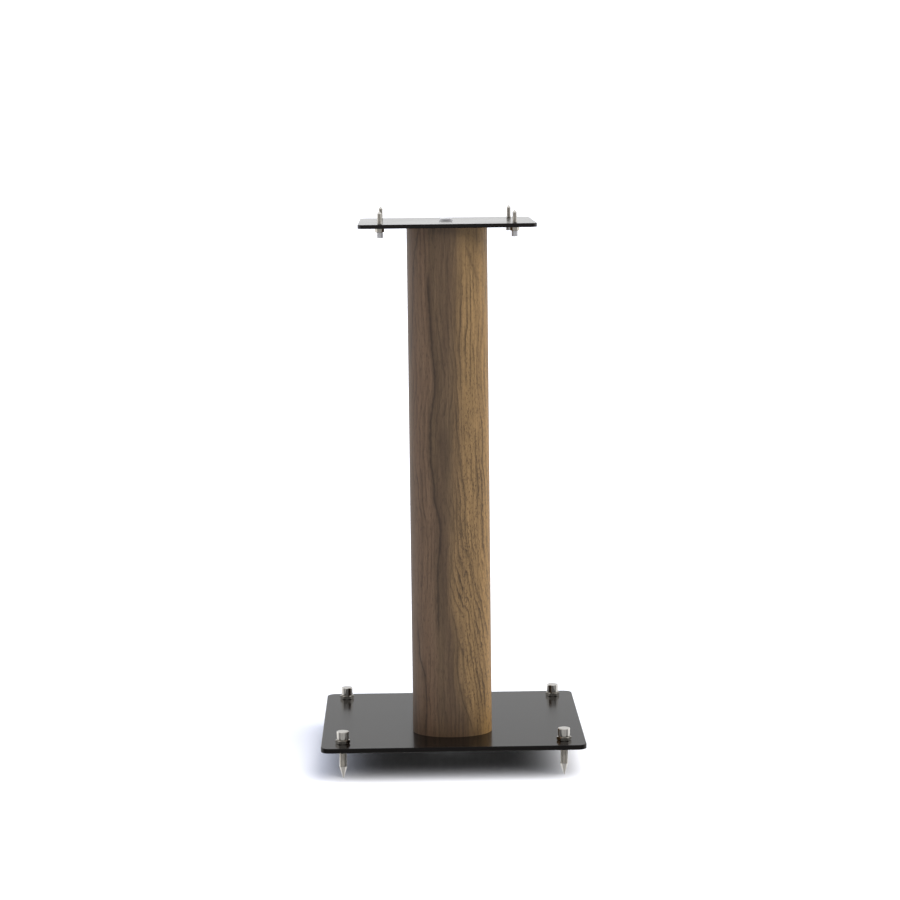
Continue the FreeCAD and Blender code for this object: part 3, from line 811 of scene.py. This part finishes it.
def hexagon_nut(name, node, bore_radius):
    """A nut on the XY plane, as wide and high as its node and with its flats to the front and back."""
    low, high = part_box(node)
    across_flats = high.y - low.y
    height = high.z - low.z
    deselect()
    bpy.ops.mesh.primitive_cylinder_add(vertices=6, radius=across_flats / math.sqrt(3), depth=height,
                                        location=(0, 0, height / 2),
                                        rotation=(0, 0, math.radians(30)))
    piece = bpy.context.object
    piece.name = name
    bpy.ops.object.transform_apply(location=True, rotation=True, scale=True)
    face_radius = NUT_FACE_SHARE * across_flats / 2
    corner_radius = across_flats / math.sqrt(3) * NUT_BLANK_SHARE
    drop = (corner_radius - face_radius) * math.tan(math.radians(NUT_CHAMFER_DEGREES))
    blank = turned_piece("nut_blank", [(face_radius, 0), (corner_radius, drop),
                                       (corner_radius, height - drop), (face_radius, height)])
    combine(piece, blank, "INTERSECT")
    mouth = bore_radius + NUT_BORE_CHAMFER
    bore = turned_piece("nut_bore", [(mouth + MM, -MM), (bore_radius, NUT_BORE_CHAMFER),
                                     (bore_radius, height - NUT_BORE_CHAMFER), (mouth + MM, height + MM)])
    combine(piece, bore, "DIFFERENCE")
    finish_modifier(piece, "BEVEL", width=NUT_EDGE_ROUND, segments=2, limit_method="ANGLE",
                    angle_limit=math.radians(20))
    even_shading(piece, 35)
    return piece


def fit_nuts(pattern, family):
    """Sets a copy of the nut at each corner, in place of the plain one there."""
    wear(pattern, nickel)
    for corner in CORNERS:
        low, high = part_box(family + corner)
        middle = (low + high) / 2
        piece = place_copy(pattern, "nickel_" + family + corner, middle.x, middle.y, low.z)
        stand_for(piece, family + corner, family + corner)
    bpy.data.objects.remove(pattern)


floor_nut = hexagon_nut("floor_nut_pattern", "floor_lock_nut_front_left",
                        FLOOR_SHANK_RADIUS + THREAD_CLEARANCE)
fit_nuts(floor_nut, "floor_lock_nut_")

# ---------------------------------------------------------------------------------------------
# Top spikes. The same bright bar in M6, screwed up from below: a short cone above the plate for
# the speaker to stand on, and a plain round head below with a key socket in its end.
TOP_PITCH = 1.0 * MM
TOP_THREAD_DEPTH = 0.55 * MM
TOP_CONE = 3.5 * MM
TOP_TIP_RADIUS = 0.3 * MM
TOP_SHANK_RADIUS = 3 * MM
TOP_HEAD_ROUNDING = 0.5 * MM
TOP_THREAD_OVER_CONE = 0.02 * MM
TOP_KEY = 4 * MM
TOP_KEY_DEPTH = 3 * MM

low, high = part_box("top_spike_front_left")
head_radius = (high.x - low.x) / 2
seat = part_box("top_lock_nut_front_left")[0].z
cone_base = high.z - TOP_CONE
root_radius = TOP_SHANK_RADIUS - TOP_THREAD_DEPTH
top_spike = turned_piece("top_spike_pattern", [
    *rounded_rim(head_radius, low.z, TOP_HEAD_ROUNDING, -1),
    *rounded_rim(head_radius, seat, TOP_HEAD_ROUNDING, 1),
    (root_radius, seat), (root_radius, cone_base - TOP_THREAD_DEPTH),
    (TOP_SHANK_RADIUS, cone_base), (TOP_TIP_RADIUS, high.z)])
deselect()
bpy.ops.mesh.primitive_cylinder_add(vertices=6, radius=TOP_KEY / math.sqrt(3), depth=2 * TOP_KEY_DEPTH,
                                    location=(0, 0, low.z))
socket = bpy.context.object
bpy.ops.object.transform_apply(location=True, rotation=True, scale=True)
combine(top_spike, socket, "DIFFERENCE")
top_thread = thread("top_thread", TOP_SHANK_RADIUS - HAIR, TOP_THREAD_DEPTH, TOP_PITCH,
                    seat - THREAD_INTO_HEAD, cone_base + TOP_THREAD_OVER_CONE)
combine(top_spike, top_thread, "UNION")
even_shading(top_spike, 32)
wear(top_spike, chrome)
top_spike.data.materials.append(satin)
for face in top_spike.data.polygons:
    if face.center.z < seat + HAIR:
        face.material_index = 1
fit_spikes(top_spike, "top_spike_")
top_nut = hexagon_nut("top_nut_pattern", "top_lock_nut_front_left",
                      TOP_SHANK_RADIUS + THREAD_CLEARANCE)
fit_nuts(top_nut, "top_lock_nut_")

# ---------------------------------------------------------------------------------------------
# Tie rod. Zinc-plated steel rod up through the column, an M8 thread rolled on both its ends, with a
# washer and nut under the base plate and a low round cap nut, turned satin, on the top plate.
ZINC_TINT = "#A5A8AA"
ZINC_PALER = "#BFC3C6"
ZINC_ROUGHNESS = (0.24, 0.42)
ZINC_SPANGLE = 1.5 * MM
ROD_PITCH = 1.25 * MM
ROD_THREAD_DEPTH = 0.7 * MM
ROD_THREAD_LENGTH = 26 * MM
ROD_THREAD_PAST_ROOT = 0.3 * MM
ROD_END_CUT = 0.4 * MM
ROD_END_BEVEL = 0.2 * MM

zinc, tree, surface = new_material("clear_zinc_plate")
place = add_node(tree, "TexCoord").outputs["Object"]
spangle = add_node(tree, "TexNoise", {"Vector": place, "Scale": 1 / ZINC_SPANGLE, "Detail": 4.0})
gloss = add_node(tree, "MapRange", {"Value": spangle.outputs["Fac"], "To Min": ZINC_ROUGHNESS[0],
                                    "To Max": ZINC_ROUGHNESS[1]})
shade = add_node(tree, "MixRGB", {"Fac": spangle.outputs["Fac"], "Color1": linear(ZINC_TINT),
                                  "Color2": linear(ZINC_PALER)})
tree.links.new(shade.outputs["Color"], surface.inputs["Base Color"])
tree.links.new(gloss.outputs["Result"], surface.inputs["Roughness"])
surface.inputs["Metallic"].default_value = 1.0

low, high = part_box("tie_rod")
rod_radius = (high.x - low.x) / 2
root_radius = rod_radius - ROD_THREAD_DEPTH
lower_end = low.z + ROD_THREAD_LENGTH
upper_end = high.z - ROD_THREAD_LENGTH
rod = turned_piece("threaded_tie_rod", [
    (root_radius - ROD_END_BEVEL, low.z), (root_radius, low.z + ROD_END_CUT), (root_radius, lower_end),
    (rod_radius, lower_end + ROD_THREAD_DEPTH), (rod_radius, upper_end - ROD_THREAD_DEPTH),
    (root_radius, upper_end), (root_radius, high.z - ROD_END_CUT),
    (root_radius - ROD_END_BEVEL, high.z)])
for name, bottom, top in (("lower_thread", low.z + ROD_END_CUT, lower_end + ROD_THREAD_PAST_ROOT),
                          ("upper_thread", upper_end - ROD_THREAD_PAST_ROOT, high.z - ROD_END_CUT)):
    rod_thread = thread(name, rod_radius - HAIR, ROD_THREAD_DEPTH, ROD_PITCH, bottom, top)
    combine(rod, rod_thread, "UNION")
even_shading(rod, 32)
wear(rod, zinc)
stand_for(rod, "tie_rod", "root")

rod_nut = hexagon_nut("zinc_tie_rod_nut", "tie_rod_nut", rod_radius + THREAD_CLEARANCE)
low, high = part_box("tie_rod_nut")
rod_nut.data.transform(Matrix.Translation((0, 0, low.z)))
wear(rod_nut, zinc)
stand_for(rod_nut, "tie_rod_nut", "root")
wear(nodes["tie_rod_washer"], zinc)
wear(nodes["tie_rod_cap_nut"], satin)
